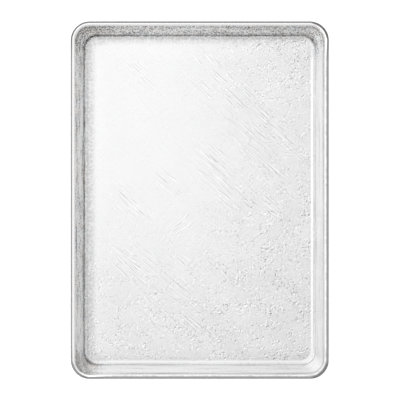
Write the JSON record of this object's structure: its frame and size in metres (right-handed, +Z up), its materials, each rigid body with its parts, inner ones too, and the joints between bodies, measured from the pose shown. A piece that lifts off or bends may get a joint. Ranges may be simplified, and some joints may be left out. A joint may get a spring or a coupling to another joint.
{
  "type": "jelly roll pan",
  "caption": "Shallow rectangular baking pan of drawn aluminium sheet, with sloping walls, rounded corners and a rim rolled around a steel wire.",
  "frame": {"origin": "centre of the footprint, on the surface that the pan stands on", "axes": "+Z up out of the open side, +Y along the length, +X across the width"},
  "size_m": [0.3302, 0.4572, 0.0264],
  "materials": {
    "pan_sheet": "bare natural aluminium, satin, with fine mottled grain and hairline scratches from use",
    "rim_steel": "galvanised steel wire, dull zinc grey"
  },
  "bodies": {
    "root": {"pan_body": "pan_sheet", "rim_wire": "rim_steel"}
  },
  "joints": []
}
